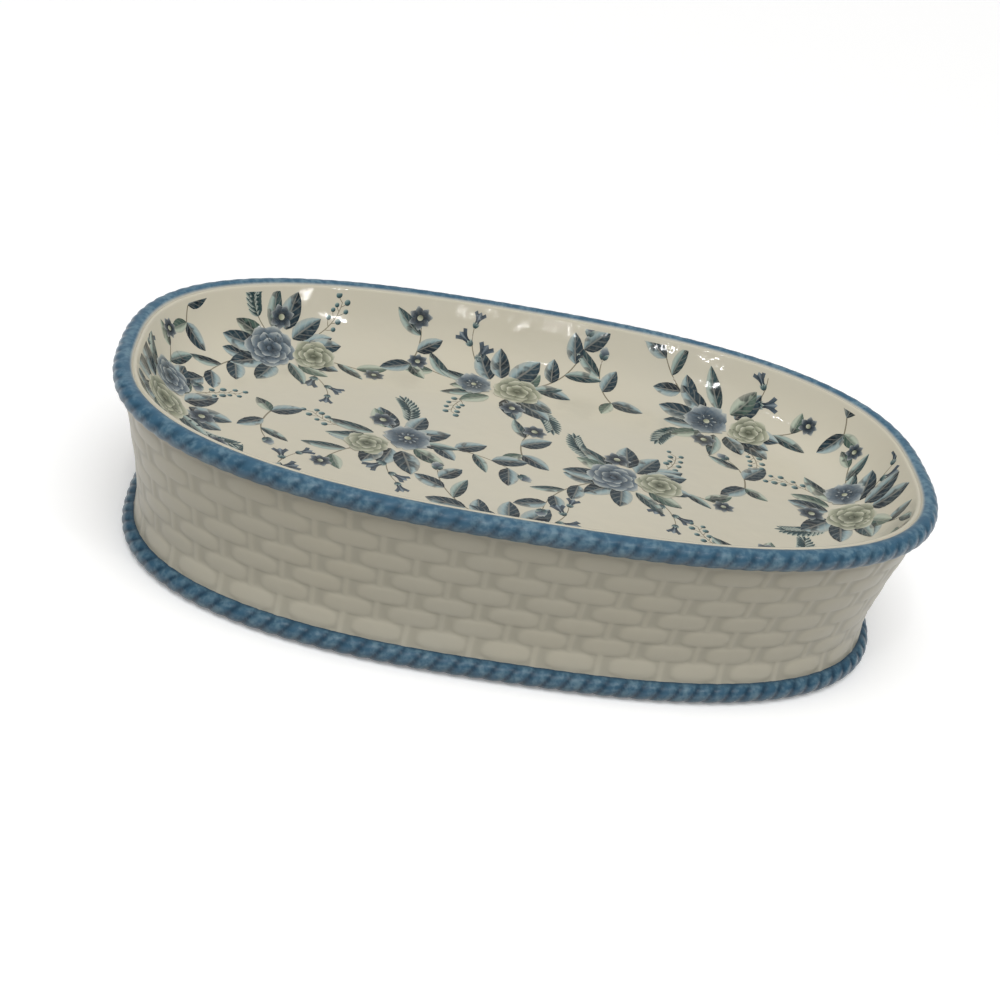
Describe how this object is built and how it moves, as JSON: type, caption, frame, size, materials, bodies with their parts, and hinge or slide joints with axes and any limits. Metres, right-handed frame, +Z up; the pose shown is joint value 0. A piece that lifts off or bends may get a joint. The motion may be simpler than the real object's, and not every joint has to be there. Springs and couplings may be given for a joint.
{
  "type": "soap dish",
  "caption": "Oval glazed soap dish with a shallow well, a waisted wall moulded as basket weave, and twisted-rope mouldings round the rim and the foot.",
  "frame": {"origin": "centre of the oval, on the table that the foot stands on", "axes": "+X along the oval's length, +Y across it, +Z up out of the well"},
  "size_m": [0.15, 0.0934, 0.0336],
  "materials": {
    "cream_glaze": "glossy clear glaze over cream earthenware",
    "blue_glaze": "hand-painted slate blue under glaze"
  },
  "bodies": {
    "root": {"basket_wall": "cream_glaze", "soap_well": "cream_glaze", "rim_rope": "blue_glaze", "foot_rope": "blue_glaze"}
  },
  "joints": []
}
